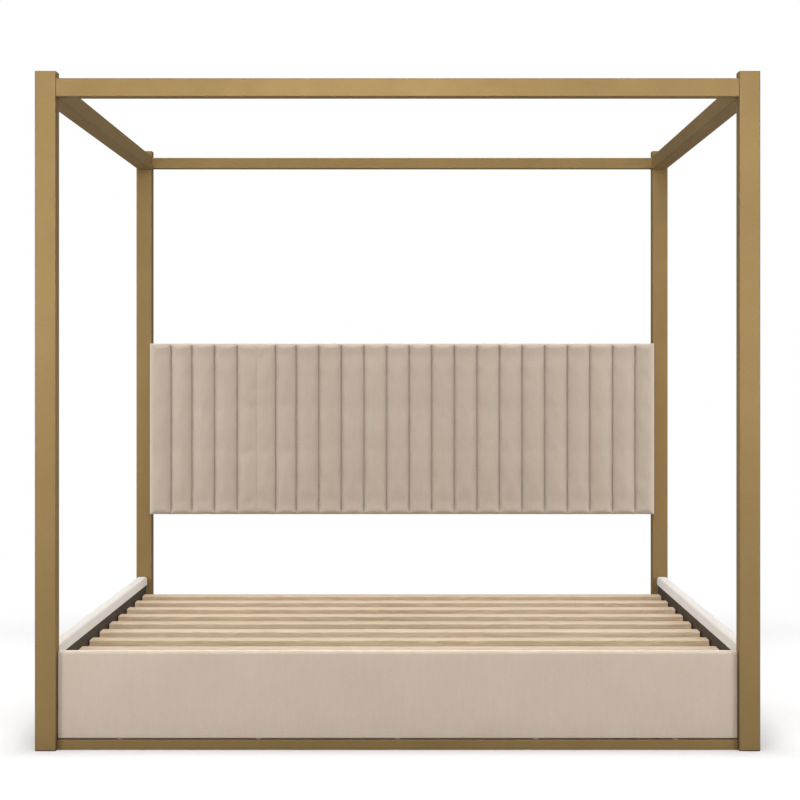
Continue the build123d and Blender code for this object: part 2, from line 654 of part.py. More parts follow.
def beam_hanger(face_y, toward):
    """Welded saddle that holds one end of the beam; toward points away from its back plate."""
    outer = BEAM_WIDTH / 2 + HANGER_CLEARANCE + HANGER_PLATE
    inner = BEAM_WIDTH / 2 + HANGER_CLEARANCE
    floor_z = BEAM_BOTTOM - HANGER_PLATE
    plate_y = span(face_y, face_y + toward * HANGER_PLATE)
    cradle_y = span(face_y, face_y + toward * HANGER_DEPTH)
    hanger = block((-HANGER_HALF_WIDTH, HANGER_HALF_WIDTH), plate_y, (floor_z, SLAT_BOTTOM - HANGER_TOP_GAP))
    hanger += block((-outer, outer), cradle_y, (floor_z, BEAM_BOTTOM))
    for side in SIDES.values():
        hanger += block(span(side * inner, side * outer), cradle_y, (floor_z, floor_z + HANGER_SIDE_HEIGHT))
    places = hanger_screw_places(face_y, toward)
    return cut(hanger, [rod(p, n, SCREW_RADIUS + HOLE_CLEARANCE, 1, HANGER_PLATE + 1) for p, n in places])


def rear_cross_rail():
    """Rectangular tube with end plates, between the rear posts."""
    half = POST_INNER_X - END_PLATE
    tube = square_tube(CROSS_RAIL_HEIGHT, CROSS_RAIL_DEPTH, 2 * half, TUBE_WALL, TUBE_EDGE_RADIUS)
    middle_y = CROSS_RAIL_FRONT + CROSS_RAIL_DEPTH / 2
    rail = Pos(-half, middle_y, SLAT_BOTTOM - CROSS_RAIL_HEIGHT / 2) * Rot(0, 90, 0) * tube
    plate_y = (middle_y - END_PLATE_HALF_DEPTH, middle_y + END_PLATE_HALF_DEPTH)
    plate_z = (SLAT_BOTTOM - END_PLATE_HEIGHT, SLAT_BOTTOM)
    for side in SIDES.values():
        rail += block(span(side * half, side * POST_INNER_X), plate_y, plate_z)
    places = [place for side in SIDES.values() for place in cross_rail_bolts(side)]
    holes = bolt_holes(raised(places, END_PLATE), END_PLATE + 1)
    for point, normal in hanger_screw_places(CROSS_RAIL_FRONT, -1):
        holes.append(rod(point, normal, SCREW_RADIUS + HOLE_CLEARANCE, TUBE_WALL + 1, 1))
    return cut(rail, holes)


def centre_leg(leg_y):
    """Round tube leg with a top plate and a threaded insert at its foot."""
    plate_bottom = BEAM_BOTTOM - LEG_PLATE
    height = plate_bottom - LEG_BOTTOM
    tube = extrude(Circle(LEG_RADIUS) - Circle(LEG_RADIUS - LEG_WALL), amount=height)
    insert = Circle(LEG_RADIUS - LEG_WALL) - Circle(STUD_RADIUS + STUD_CLEARANCE)
    insert = extrude(insert, amount=LEG_INSERT_HEIGHT)
    leg = Pos(0, leg_y, LEG_BOTTOM) * (tube + insert)
    leg += block((-LEG_PLATE_HALF_WIDTH, LEG_PLATE_HALF_WIDTH),
                 (leg_y - LEG_PLATE_HALF_LENGTH, leg_y + LEG_PLATE_HALF_LENGTH), (plate_bottom, BEAM_BOTTOM))
    places = leg_screw_places(leg_y)
    return cut(leg, [rod(p, n, SCREW_RADIUS + HOLE_CLEARANCE, LEG_PLATE + 1, 1) for p, n in places])


def levelling_foot(leg_y):
    """Round pad on a threaded stud that screws up into a leg."""
    pad = Pos(0, leg_y, FOOT_HEIGHT / 2) * Cylinder(FOOT_RADIUS, FOOT_HEIGHT)
    pad = fillet(pad.edges().group_by(Axis.Z)[-1], FOOT_EDGE_RADIUS)
    stud_height = STUD_TOP - FOOT_HEIGHT
    stud = Pos(0, leg_y, FOOT_HEIGHT + stud_height / 2) * Cylinder(STUD_RADIUS, stud_height)
    return pad + stud


def frame_screws():
    """Identical screws of the leg plates and the beam hangers."""
    places = [place for leg_y in LEG_PLACES_Y for place in leg_screw_places(leg_y)]
    places += raised(hanger_screw_places(FOOTBOARD_CORE_BACK, 1), HANGER_PLATE)
    places += raised(hanger_screw_places(CROSS_RAIL_FRONT, -1), HANGER_PLATE)
    return [button_screw(*place) for place in places]


# ---------- headboard ----------

def headboard_bolt_drill():
    """Drilling for the bolts that enter the back of the headboard."""
    places = [place for side in SIDES.values() for place in headboard_back_bolts(side)]
    return bolt_holes(places, BOLT_LENGTH)


def headboard_board():
    """Plywood back board."""
    half = HEADBOARD_WIDTH / 2 - FABRIC_EDGE
    board = block((-half, half), (BOARD_FRONT, BOARD_BACK),
                  (HEADBOARD_BOTTOM + FABRIC_EDGE, HEADBOARD_TOP - FABRIC_EDGE))
    return cut(board, headboard_bolt_drill())


def headboard_pad():
    """Foam and fabric over the front and edges of the back board."""
    half = HEADBOARD_WIDTH / 2
    pad = block((-half, half), (HEADBOARD_FRONT, BOARD_BACK), (HEADBOARD_BOTTOM, HEADBOARD_TOP))
    pad = fillet(pad.edges().filter_by(Axis.Y), HEADBOARD_CORNER)
    pad = fillet(pad.faces().sort_by(Axis.Y)[0].edges(), HEADBOARD_FRONT_RADIUS)
    inner = half - FABRIC_EDGE
    return pad - block((-inner, inner), (BOARD_FRONT, BOARD_BACK + 1),
                       (HEADBOARD_BOTTOM + FABRIC_EDGE, HEADBOARD_TOP - FABRIC_EDGE))


def headboard_dust_cover():
    """Thin cloth tacked over the back of the board, between the posts."""
    half = POST_INNER_X - DUST_COVER_INSET
    cloth = block((-half, half), (BOARD_BACK, HEADBOARD_BACK),
                  (HEADBOARD_BOTTOM + DUST_COVER_INSET, HEADBOARD_TOP - DUST_COVER_INSET))
    return cut(cloth, headboard_bolt_drill())


def headboard_bracket(side, level):
    """Angle bracket between the inner face of a rear post and the headboard's back."""
    post_face = side * POST_INNER_X
    z_span = (level - HEADBOARD_BRACKET_HEIGHT / 2, level + HEADBOARD_BRACKET_HEIGHT / 2)
    bracket = block(span(post_face, post_face - side * BRACKET_PLATE),
                    (HEADBOARD_BACK, HEADBOARD_BACK + HEADBOARD_BRACKET_LEG), z_span)
    bracket += block(span(post_face, post_face - side * HEADBOARD_BRACKET_LEG),
                     (HEADBOARD_BACK, HEADBOARD_BACK + BRACKET_PLATE), z_span)
    return bracket


def headboard_brackets():
    """The four angle brackets with their bolt holes."""
    brackets = []
    for side in SIDES.values():
        for level in headboard_bracket_levels():
            places = [place for place in headboard_post_bolts(side) + headboard_back_bolts(side)
                      if place[0][2] == level]
            holes = bolt_holes(raised(places, BRACKET_PLATE), BRACKET_PLATE + 1)
            brackets.append(headboard_bracket(side, level) - holes)
    return brackets


def headboard_bolts():
    """Bolts of the headboard brackets, with nuts inside the posts."""
    pieces = []
    for side in SIDES.values():
        for place in headboard_post_bolts(side):
            pieces.append(hex_bolt(*raised([place], BRACKET_PLATE)[0]))
            pieces.append(hex_nut(*raised([place], -TUBE_WALL)[0]))
        pieces += [hex_bolt(*place) for place in raised(headboard_back_bolts(side), BRACKET_PLATE)]
    return pieces


# ---------- the whole bed ----------

def bed_nodes():
    """Every sub-part of the bed, by name."""
    nodes = {}
    for end_name, end in ENDS.items():
        for side_name, side in SIDES.items():
            nodes[f"post_{end_name}_{side_name}"] = post(side, end)
            nodes[f"post_cap_{end_name}_{side_name}"] = post_cap(side, end)
            nodes[f"post_glide_{end_name}_{side_name}"] = post_glide(side, end)
        nodes[f"canopy_rail_{end_name}"] = canopy_cross_rail(end)
    nodes["canopy_spigots"] = canopy_spigots()
    nodes["canopy_bolts"] = canopy_bolts()
    nodes["canopy_screws"] = canopy_screws()
    nodes["footboard_core"] = footboard_core()
    nodes["footboard_cover"] = footboard_cover()
    nodes["base_rail_front"] = base_rail("front")
    for side_name, side in SIDES.items():
        nodes[f"canopy_rail_{side_name}"] = canopy_side_rail(side)
        nodes[f"side_rail_{side_name}_core"] = side_rail_core(side_name)
        nodes[f"side_rail_{side_name}_cover"] = side_rail_cover(side_name)
        nodes[f"base_rail_{side_name}"] = base_rail(side_name)
        nodes[f"slat_ledge_{side_name}"] = slat_ledge(side)
    nodes["base_rail_screws"] = base_rail_screws()
    nodes["corner_brackets"] = corner_brackets()
    nodes["bed_box_bolts"] = bed_box_bolts()
    for number in range(SLAT_COUNT):
        nodes[f"slat_{number + 1:02d}"] = slat(number)
    nodes["wood_screws"] = wood_screws()
    nodes["centre_beam"] = centre_beam()
    nodes["beam_hanger_front"] = beam_hanger(FOOTBOARD_CORE_BACK, 1)
    nodes["beam_hanger_rear"] = beam_hanger(CROSS_RAIL_FRONT, -1)
    nodes["rear_cross_rail"] = rear_cross_rail()
    for number, leg_y in enumerate(LEG_PLACES_Y, start=1):
        nodes[f"centre_leg_{number}"] = centre_leg(leg_y)
        nodes[f"levelling_foot_{number}"] = levelling_foot(leg_y)
    nodes["frame_screws"] = frame_screws()
    nodes["headboard_board"] = headboard_board()
    nodes["headboard_pad"] = headboard_pad()
    nodes["headboard_dust_cover"] = headboard_dust_cover()
    nodes["headboard_brackets"] = headboard_brackets()
    nodes["headboard_bolts"] = headboard_bolts()
    return nodes


os.makedirs("parts", exist_ok=True)
for node_name, shape in bed_nodes().items():
    solids = Compound(children=shape) if isinstance(shape, list) else shape
    export_step(solids, f"parts/{node_name}.step")
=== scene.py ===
"""Looks of the four poster canopy bed: fabric, metal, wood, light and camera, round the fixed frame.

Metres, +Z up. -Y is the foot end, where the camera stands.
"""

import json
import math

import bmesh
import bpy
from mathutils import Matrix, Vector, noise


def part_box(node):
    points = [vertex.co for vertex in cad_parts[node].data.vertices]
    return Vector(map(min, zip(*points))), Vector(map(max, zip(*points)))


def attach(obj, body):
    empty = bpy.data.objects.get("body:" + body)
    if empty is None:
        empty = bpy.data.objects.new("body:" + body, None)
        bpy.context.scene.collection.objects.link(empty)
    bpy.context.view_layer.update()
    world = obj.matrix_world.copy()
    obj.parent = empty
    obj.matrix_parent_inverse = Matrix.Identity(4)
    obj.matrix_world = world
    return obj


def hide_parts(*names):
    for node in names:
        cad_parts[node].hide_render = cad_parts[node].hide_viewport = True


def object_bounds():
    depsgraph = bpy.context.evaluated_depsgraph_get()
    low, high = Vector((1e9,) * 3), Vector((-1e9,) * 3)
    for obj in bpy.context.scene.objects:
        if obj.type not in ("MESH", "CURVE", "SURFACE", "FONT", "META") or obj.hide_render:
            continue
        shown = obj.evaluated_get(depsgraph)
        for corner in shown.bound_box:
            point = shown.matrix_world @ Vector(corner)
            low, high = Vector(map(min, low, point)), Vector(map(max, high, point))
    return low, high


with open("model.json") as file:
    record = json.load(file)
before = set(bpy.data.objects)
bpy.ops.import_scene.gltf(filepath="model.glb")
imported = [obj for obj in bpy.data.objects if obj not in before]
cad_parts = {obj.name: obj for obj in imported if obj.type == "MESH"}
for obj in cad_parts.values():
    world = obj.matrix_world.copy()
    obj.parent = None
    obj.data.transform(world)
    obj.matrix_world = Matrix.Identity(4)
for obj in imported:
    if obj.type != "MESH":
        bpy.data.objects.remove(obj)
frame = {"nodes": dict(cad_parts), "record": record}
cad_low, cad_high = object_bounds()

MM = 0.001
BODY = "root"

# Camera and stage
CAMERA_DISTANCE = 5.847
CAMERA_HEIGHT = 1.092
CAMERA_SIDE = 0.048
LENS = 91.81
SHIFT_X = -0.0179
SHIFT_Y = -0.03725
CAMERA_REACH = 200.0
FLOOR_SIZE = 60.0
FLOOR_FADE = (1.3, 2.9)
FLOOR_BOUNCE = 0.35
WORLD_LOW = 0.06
WORLD_HIGH = 0.55
WORLD_HORIZON = -0.2

# Lights: place, target, width and height, power. Each side light is also mirrored in X.
MIDDLE_LIGHTS = {
    "overhead": ((0.0, 0.2, 5.0), (0.0, 0.1, 0.0), (3.0, 3.0), 150),
    "front": ((-0.1, -3.9, 2.35), (0.0, -1.0, 0.6), (2.4, 1.1), 66),
}
SIDE_LIGHTS = {
    "strip": ((2.2, -2.6, 1.1), (0.3, 0.0, 0.8), (0.6, 2.1), 23),
    "side": ((2.4, 0.6, 1.1), (0.0, 1.0, 0.9), (0.8, 1.8), 17),
}

# Headboard channels, left to right, in millimetres: the left ones are uneven. The groove numbered
# SHALLOW_GROOVE, counted from the left edge, has only a share of the others' depth.
FIRST_CHANNELS = (84, 81, 88, 88, 77, 73, 80)
EVEN_CHANNEL = 88
EVEN_CHANNELS = 15
LAST_CHANNEL = 75
SHALLOW_GROOVE = 5
SHALLOW_SHARE = 0.22
GROOVE_DEPTH = 22 * MM
CHANNEL_FULLNESS = 2.3
CHANNEL_STEPS = 12
TOP_ROUND = 20 * MM
SIDE_ROUND = 26 * MM
ROUND_STEPS = 6
CHANNEL_COLUMNS_FROM = SIDE_ROUND * 1.04
HEADBOARD_ROWS = 30
SEAM_SHARE = 0.99
HEADBOARD_SHARP = 60

# Settling of the headboard's fabric by cloth simulation: the most that it may swell, and the
# width on each side of a seam that is held
SETTLE_FRAMES = 20
SETTLE_PRESSURE = 3.0
SETTLE_SLACK = 0.01
HEADBOARD_SWELL = 3 * MM
SEAM_HOLD = 3 * MM

# Padded boards of the bed box
END_FABRIC = 3 * MM
RETURN_DROP = 30 * MM
BOARD_ROUND = 9 * MM
BOARD_ROUND_LOW = 4 * MM
BOARD_ROUND_BACK = BOARD_ROUND * 0.8
BOARD_CROWN = 1.2 * MM
END_ROUND = 5 * MM
FACE_STEPS = 8
BACK_ROUND_STEPS = 6
LOW_ROUND_STEPS = 5
END_ROUND_DEGREES = 15
BOARD_STATIONS = 48
STATION_CLEAR = END_FABRIC * 0.2
BOARD_SHARP = 50

# Cloth over the headboard's back
CLOTH_COLUMNS = 97
CLOTH_ROWS = 33
CLOTH_INNER = 0.05 * MM
CLOTH_OUTER = 0.525 * MM
CLOTH_SLACK = 0.15 * MM
CLOTH_WAVES = 7

# Points closer than this are welded, and places closer than this count as the same
WELD_DISTANCE = 0.02 * MM
SAME_PLACE = 0.001 * MM


# ---------- mesh helpers ----------

def new_piece(name, verts, faces, smooth=True, closed=True):
    """A mesh object from points and faces. The faces of a closed one are turned outwards."""
    mesh = bpy.data.meshes.new(name)
    mesh.from_pydata([tuple(v) for v in verts], [], faces)
    mesh.validate()
    if closed:
        bm = bmesh.new()
        bm.from_mesh(mesh)
        bmesh.ops.recalc_face_normals(bm, faces=bm.faces)
        bm.to_mesh(mesh)
        bm.free()
    piece = bpy.data.objects.new(name, mesh)
    bpy.context.collection.objects.link(piece)
    for polygon in mesh.polygons:
        polygon.use_smooth = smooth
    return piece


def sharpen(piece, degrees):
    """Smooth shading that keeps creases sharper than the angle."""
    bpy.context.view_layer.objects.active = piece
    piece.select_set(True)
    bpy.ops.object.shade_smooth_by_angle(angle=math.radians(degrees))
    piece.select_set(False)


def crease(piece, chosen):
    """Creases the edges that a test on their two point numbers chooses, so that they stay sharp."""
    creases = piece.data.attributes.new("crease_edge", "FLOAT", "EDGE")
    for edge in piece.data.edges:
        creases.data[edge.index].value = 1.0 if chosen(*edge.vertices) else 0.0


def subdivide(piece):
    """One level of smooth subdivision, applied."""
    piece.modifiers.new("smooth", "SUBSURF").levels = 1
    graph = bpy.context.evaluated_depsgraph_get()
    mesh = bpy.data.meshes.new_from_object(piece.evaluated_get(graph))
    piece.modifiers.clear()
    piece.data = mesh


def arc(centre_a, centre_b, radius, start, stop, steps):
    """Points of an arc in a plane, angles in degrees."""
    points = []
    for i in range(steps + 1):
        angle = math.radians(start + (stop - start) * i / steps)
        points.append((centre_a + radius * math.cos(angle), centre_b + radius * math.sin(angle)))
    return points


def round_in(distance, radius):
    """How far a rounded edge has fallen away at a distance in from it."""
    left = radius - min(max(distance, 0.0), radius)
    return radius - math.sqrt(radius * radius - left * left)


def settle(piece, held, swell):
    """Cloth simulation of padded fabric: it swells between its held points, by no more than swell.

    The result is applied to the mesh, and no modifier is left.
    """
    group = piece.vertex_groups.new(name="held")
    group.add(held, 1.0, "REPLACE")
    cloth = piece.modifiers.new("settling", "CLOTH")
    settings = cloth.settings
    settings.vertex_group_mass = group.name
    settings.use_pressure = True
    settings.uniform_pressure_force = SETTLE_PRESSURE
    settings.shrink_min = -SETTLE_SLACK
    settings.effector_weights.gravity = 0.0
    cloth.point_cache.frame_start = 1
    cloth.point_cache.frame_end = SETTLE_FRAMES
    scene = bpy.context.scene
    for number in range(1, SETTLE_FRAMES + 1):
        scene.frame_set(number)
    settled = piece.evaluated_get(bpy.context.evaluated_depsgraph_get()).to_mesh()
    places = [vertex.co.copy() for vertex in settled.vertices]
    piece.modifiers.clear()
    piece.vertex_groups.clear()
    for vertex, place in zip(piece.data.vertices, places):
        step = place - vertex.co
        if step.length > swell:
            step *= swell / step.length
        vertex.co += step
    scene.frame_set(1)


# ---------- headboard ----------

def channel_edges(width):
    """Places of the channel borders across the headboard, ends included."""
    widths = list(FIRST_CHANNELS) + [EVEN_CHANNEL] * EVEN_CHANNELS + [LAST_CHANNEL]
    edges = [-width / 2]
    for channel in widths:
        edges.append(edges[-1] + channel * width / sum(widths))
    return edges


def groove_share(x, edges):
    """Depth of the sewn grooves at x, from 0 on a channel's crown to 1 on a seam."""
    last = len(edges) - 1
    for number, (left, right) in enumerate(zip(edges, edges[1:])):
        if left <= x <= right:
            across = 2 * (x - left) / (right - left) - 1
            seam = number if across < 0 else number + 1
            if seam in (0, last):
                return 0.0
            full = CHANNEL_FULLNESS
            share = 1 - (1 - min(abs(across), 1.0) ** full) ** (1 / full)
            return share * (SHALLOW_SHARE if seam == SHALLOW_GROOVE else 1.0)
    return 0.0


def near_places(radius):
    """Distances in from a rounded edge, close together at the edge."""
    return [radius * (1 - math.cos(math.pi / 2 * i / ROUND_STEPS)) for i in range(ROUND_STEPS + 1)]


def headboard_rows(low, high):
    """Row heights, close together near the rounded top and bottom."""
    near = near_places(TOP_ROUND)
    start, stop = low + TOP_ROUND, high - TOP_ROUND
    rows = [low + n for n in near]
    rows += [start + (stop - start) * i / HEADBOARD_ROWS for i in range(1, HEADBOARD_ROWS)]
    return rows + [high - n for n in reversed(near)]


def headboard_columns(edges):
    """Column places, close together at the seams and near the rounded ends."""
    inside = []
    for left, right in zip(edges, edges[1:]):
        for i in range(CHANNEL_STEPS):
            share = 0.5 - 0.5 * math.cos(math.pi * i / CHANNEL_STEPS)
            inside.append(left + (right - left) * share)
    low, high = edges[0], edges[-1]
    near = near_places(SIDE_ROUND)
    inside = [x for x in inside if low + CHANNEL_COLUMNS_FROM < x < high - CHANNEL_COLUMNS_FROM]
    return [low + n for n in near] + inside + [high - n for n in reversed(near)]


def make_headboard():
    """Padded headboard front with sewn vertical channels, wrapped round the edges of its board."""
    low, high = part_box("headboard_pad")
    board_low, board_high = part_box("headboard_board")
    edges = channel_edges(high[0] - low[0])
    columns = headboard_columns(edges)
    rows = headboard_rows(low[2], high[2])
    verts = []
    held = []
    for z in rows:
        for x in columns:
            to_side = min(x - low[0], high[0] - x)
            to_end = min(z - low[2], high[2] - z)
            fall = max(round_in(to_side, SIDE_ROUND), round_in(to_end, TOP_ROUND))
            groove = GROOVE_DEPTH * groove_share(x, edges) * min(1.0, to_end / TOP_ROUND)
            to_seam = min(abs(x - edge) for edge in edges)
            if to_side < SIDE_ROUND or to_end < TOP_ROUND or to_seam < SEAM_HOLD:
                held.append(len(verts))
            verts.append(Vector((x, low[1] + fall + groove, z)))
    across = len(columns)
    sheet = new_piece("headboard_front", verts, grid_faces(across, len(rows)), closed=False)
    settle(sheet, held, HEADBOARD_SWELL)
    seams = {i for i in range(len(verts)) if groove_share(columns[i % across], edges) > SEAM_SHARE}
    crease(sheet, lambda first, second: first in seams and second in seams)
    subdivide(sheet)
    verts = [vertex.co.copy() for vertex in sheet.data.vertices]
    faces = [tuple(polygon.vertices) for polygon in sheet.data.polygons]
    rim = border(sheet.data)
    bpy.data.objects.remove(sheet)
    back = board_high[1]
    moves = (
        lambda p: Vector((p.x, (p.y + back) / 2, p.z)),
        lambda p: Vector((p.x, back, p.z)),
        lambda p: clamp_to(p, board_low, board_high, back),
        lambda p: clamp_to(p, board_low, board_high, board_low[1]),
    )
    loops = [rim] + [add_loop(verts, rim, move) for move in moves]
    for first, second in zip(loops, loops[1:]):
        faces += bridge(first, second)
    faces.append(tuple(loops[-1]))
    piece = new_piece("headboard_channels", verts, faces)
    weld(piece)
    sharpen(piece, HEADBOARD_SHARP)
    return piece


def grid_faces(across, up):
    """Quads of a grid of points laid out row by row."""
    faces = []
    for row in range(up - 1):
        for column in range(across - 1):
            first = row * across + column
            faces.append((first, first + 1, first + across + 1, first + across))
    return faces


def boundary_loop(across, up):
    """Indices round the border of a grid, in order."""
    loop = list(range(across))
    loop += [row * across + across - 1 for row in range(1, up)]
    loop += [(up - 1) * across + column for column in range(across - 2, -1, -1)]
    loop += [row * across for row in range(up - 2, 0, -1)]
    return loop


def border(mesh):
    """Point numbers round the open border of a mesh, in order."""
    uses = {}
    for polygon in mesh.polygons:
        for pair in polygon.edge_keys:
            uses[pair] = uses.get(pair, 0) + 1
    beside = {}
    for (first, second), count in uses.items():
        if count == 1:
            beside.setdefault(first, []).append(second)
            beside.setdefault(second, []).append(first)
    start = min(beside)
    loop = [start, beside[start][0]]
    while loop[-1] != start:
        ahead = [i for i in beside[loop[-1]] if i != loop[-2]]
        loop.append(ahead[0])
    return loop[:-1]


def add_loop(verts, rim, move):
    """A copy of a loop of points, each one moved."""
    start = len(verts)
    verts += [move(verts[i]) for i in rim]
    return list(range(start, start + len(rim)))


def bridge(first, second):
    """Quads between two closed loops of the same length."""
    count = len(first)
    faces = []
    for i in range(count):
        after = (i + 1) % count
        faces.append((first[i], first[after], second[after], second[i]))
    return faces


def clamp_to(point, low, high, y):
    """The point pulled inside the board's outline, at a depth."""
    x = min(max(point.x, low[0]), high[0])
    z = min(max(point.z, low[2]), high[2])
    return Vector((x, y, z))


def weld(piece):
    """Joins points that lie on each other."""
    bm = bmesh.new()
    bm.from_mesh(piece.data)
    bmesh.ops.remove_doubles(bm, verts=bm.verts, dist=WELD_DISTANCE)
    bmesh.ops.dissolve_degenerate(bm, edges=bm.edges, dist=WELD_DISTANCE)
    bmesh.ops.recalc_face_normals(bm, faces=bm.faces)
    bm.to_mesh(piece.data)
    bm.free()


# ---------- padded boards ----------

def board_profile(face, back, bottom, top, inset):
    """Outer line of a padded board's cover, as (depth, height): return, top, face, bottom."""
    face += inset
    top -= inset
    points = [(back, top - RETURN_DROP + inset)]
    points += arc(back - BOARD_ROUND_BACK, top - BOARD_ROUND_BACK, BOARD_ROUND_BACK,
                  0, 90, BACK_ROUND_STEPS)
    points += arc(face + BOARD_ROUND, top - BOARD_ROUND, BOARD_ROUND, 90, 180, FACE_STEPS)
    start, stop = top - BOARD_ROUND, bottom + BOARD_ROUND_LOW
    for i in range(1, FACE_STEPS):
        share = i / FACE_STEPS
        crown = BOARD_CROWN * (4 * share * (1 - share)) ** 0.5
        points.append((face + BOARD_CROWN - crown, start + (stop - start) * share))
    points += arc(face + BOARD_CROWN + BOARD_ROUND_LOW, bottom + BOARD_ROUND_LOW, BOARD_ROUND_LOW,
                  180, 270, LOW_ROUND_STEPS)
    return points


def stations(half):
    """Places along a board, close together near its ends."""
    near = [END_ROUND * (1 - math.cos(math.radians(a))) for a in range(0, 91, END_ROUND_DEGREES)]
    inner = half - END_FABRIC
    places = [-half + n for n in near]
    start = half - END_ROUND
    places += [-start + 2 * start * i / BOARD_STATIONS for i in range(1, BOARD_STATIONS)]
    places += [half - n for n in reversed(near)]
    places = [s for s in places if abs(abs(s) - inner) > STATION_CLEAR]
    return sorted(places + [-inner, inner])


def make_board_cover(name, cover, core, place):
    """Padded cover of a board, shaped here without simulation, with a pocket that its core fills.

    place turns (along, depth, height) into a point of the bed.
    """
    half, face, back, bottom, top = cover
    core_face, core_back, core_bottom, core_top = core
    inner = half - END_FABRIC
    verts = []
    rings = []
    for s in stations(half):
        inset = round_in(half - abs(s), END_ROUND)
        outline = board_profile(face, back, bottom, top, inset)
        outline.append((core_back, bottom))
        in_pocket = abs(s) <= inner + SAME_PLACE
        pocket = [(core_back, core_bottom)]
        if in_pocket:
            pocket += [(core_face, core_bottom), (core_face, core_top), (core_back, core_top)]
        pocket.append((core_back, outline[0][1]))
        ring = []
        for depth, height in outline + pocket:
            ring.append(len(verts))
            verts.append(place(s, depth, height))
        rings.append((ring, len(outline), in_pocket))
    faces = cover_faces(rings)
    piece = new_piece(name, verts, faces)
    weld(piece)
    sharpen(piece, BOARD_SHARP)
    return piece


def cover_faces(rings):
    """Faces of a board cover between its rings, with end caps and the walls of its pocket."""
    faces = []
    for (first, outline, in_first), (second, _, in_second) in zip(rings, rings[1:]):
        for k in range(outline):
            faces.append((first[k], first[k + 1], second[k + 1], second[k]))
        if in_first and in_second:
            for k in range(outline, len(first) - 1):
                faces.append((first[k], first[k + 1], second[k + 1], second[k]))
        else:
            faces.append((first[outline], first[-1], second[-1], second[outline]))
        faces.append((first[-1], first[0], second[0], second[-1]))
    faces.append(tuple(rings[0][0]))
    faces.append(tuple(rings[-1][0]))
    pocket_rings = [ring for ring, _, inside in rings if inside]
    outline = rings[0][1]
    for ring in (pocket_rings[0], pocket_rings[-1]):
        faces.append(tuple(ring[outline:]))
    return faces


def make_footboard():
    """Padded footboard cover."""
    low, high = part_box("footboard_cover")
    core_low, core_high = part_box("footboard_core")
    cover = (high[0], low[1], high[1], low[2], high[2])
    core = (core_low[1], core_high[1], core_low[2], core_high[2])
    return make_board_cover("footboard_padding", cover, core, lambda s, d, h: Vector((s, d, h)))


def make_side_rail(side, sign):
    """Padded cover of one side rail; depth runs inwards from its outer face."""
    low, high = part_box(f"side_rail_{side}_cover")
    core_low, core_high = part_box(f"side_rail_{side}_core")
    outer, inner = sorted((-sign * low[0], -sign * high[0]))
    core_outer, core_inner = sorted((-sign * core_low[0], -sign * core_high[0]))
    cover = (high[1], outer, inner, low[2], high[2])
    core = (core_outer, core_inner, core_low[2], core_high[2])
    return make_board_cover(f"side_rail_padding_{side}", cover, core,
                            lambda s, d, h: Vector((-sign * d, s, h)))


# ---------- cloth on the headboard's back ----------

def make_back_cloth():
    """Thin cloth stretched over the back of the headboard board, very slightly uneven."""
    low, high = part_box("headboard_dust_cover")
    board_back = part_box("headboard_board")[1][1]
    front, back = [], []
    for row in range(CLOTH_ROWS):
        for column in range(CLOTH_COLUMNS):
            x = low[0] + (high[0] - low[0]) * column / (CLOTH_COLUMNS - 1)
            z = low[2] + (high[2] - low[2]) * row / (CLOTH_ROWS - 1)
            slack = CLOTH_SLACK * noise.noise(Vector((x, z, 0)) * CLOTH_WAVES)
            front.append(Vector((x, board_back + CLOTH_INNER, z)))
            back.append(Vector((x, board_back + CLOTH_OUTER + slack, z)))
    sheet_faces = grid_faces(CLOTH_COLUMNS, CLOTH_ROWS)
    offset = len(front)
    faces = sheet_faces + [tuple(i + offset for i in face) for face in sheet_faces]
    rim = boundary_loop(CLOTH_COLUMNS, CLOTH_ROWS)
    faces += bridge(rim, [i + offset for i in rim])
    return new_piece("headboard_back_cloth", front + back, faces)


# ---------- materials ----------

